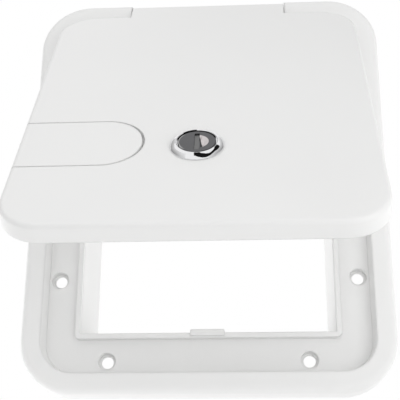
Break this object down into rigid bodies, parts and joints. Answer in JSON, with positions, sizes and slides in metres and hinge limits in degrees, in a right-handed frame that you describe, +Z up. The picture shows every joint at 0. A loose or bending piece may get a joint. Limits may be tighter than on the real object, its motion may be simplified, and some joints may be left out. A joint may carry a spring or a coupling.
{
  "type": "power cord hatch",
  "caption": "White moulded power cord hatch: rimmed frame with a sleeve through the wall, top-hung lid standing open, cord flap in the lid and a chrome cam lock.",
  "frame": {"origin": "centre of the frame's back face, which lies against the wall's outer skin", "axes": "+X to the right and +Z up as the hatch is seen from outdoors, -Y outwards from the wall, +Y into the wall along the sleeve"},
  "size_m": [0.18, 0.1556, 0.212],
  "materials": {
    "body_plastic": "satin",
    "lid_plastic": "satin",
    "flap_plastic": "satin",
    "pin_steel": "plain",
    "lock_chrome": "polished",
    "shutter_metal": "satin",
    "plug_face": "satin",
    "zinc_steel": "zinc plated"
  },
  "bodies": {
    "frame": {"frame": "body_plastic", "hinge_pin": "pin_steel"},
    "lid": {"lid": "lid_plastic", "flap_pin": "pin_steel", "lock_body": "lock_chrome", "lock_nut": "zinc_steel"},
    "cord_flap": {"cord_flap": "flap_plastic"},
    "lock_plug": {"lock_plug": "plug_face", "key_shutter": "shutter_metal", "lock_cam": "zinc_steel", "cam_screw": "zinc_steel"}
  },
  "joints": [
    {"name": "lid_hinge", "type": "hinge", "parent": "frame", "child": "lid", "pos_m": [0, -0.0105, 0.1018], "axis": [-1, 0, 0], "range_deg": [-33, 82]},
    {"name": "flap_hinge", "type": "hinge", "parent": "lid", "child": "cord_flap", "pos_m": [-0.041, -0.08466, -0.01423], "axis": [0, 0.5446, 0.8387], "range_deg": [0, 75]},
    {"name": "lock_turn", "type": "hinge", "parent": "lid", "child": "lock_plug", "pos_m": [0, -0.09056, -0.01505], "axis": [0, 0.8387, -0.5446], "range_deg": [0, 90]}
  ]
}
